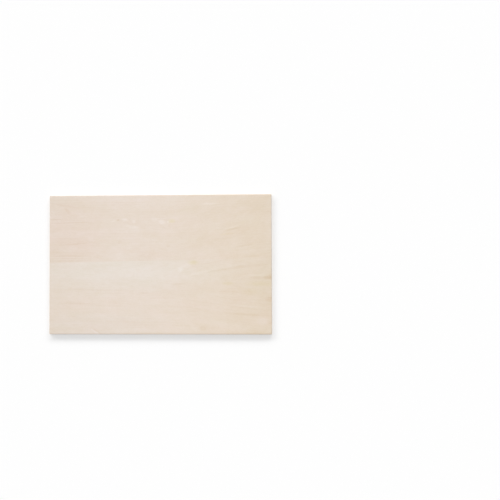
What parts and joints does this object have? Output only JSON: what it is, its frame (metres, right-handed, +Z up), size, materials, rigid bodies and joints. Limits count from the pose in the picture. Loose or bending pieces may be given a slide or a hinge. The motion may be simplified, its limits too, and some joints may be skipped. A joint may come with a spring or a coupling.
{
  "type": "thin wood craft sheet",
  "caption": "Flat rectangular sheet of pale, smooth, close-grained wood with square sawn edges, laid flat, for cutting and gluing into craft and model work.",
  "frame": {"origin": "middle of the underside, on the surface that the sheet lies on", "axes": "+X along the grain and the length, +Y across the grain, +Z up through the thickness"},
  "size_m": [0.31, 0.193, 0.003],
  "materials": {
    "wood": "bare, sanded smooth, matt"
  },
  "bodies": {
    "root": {"wood_sheet": "wood"}
  },
  "joints": []
}
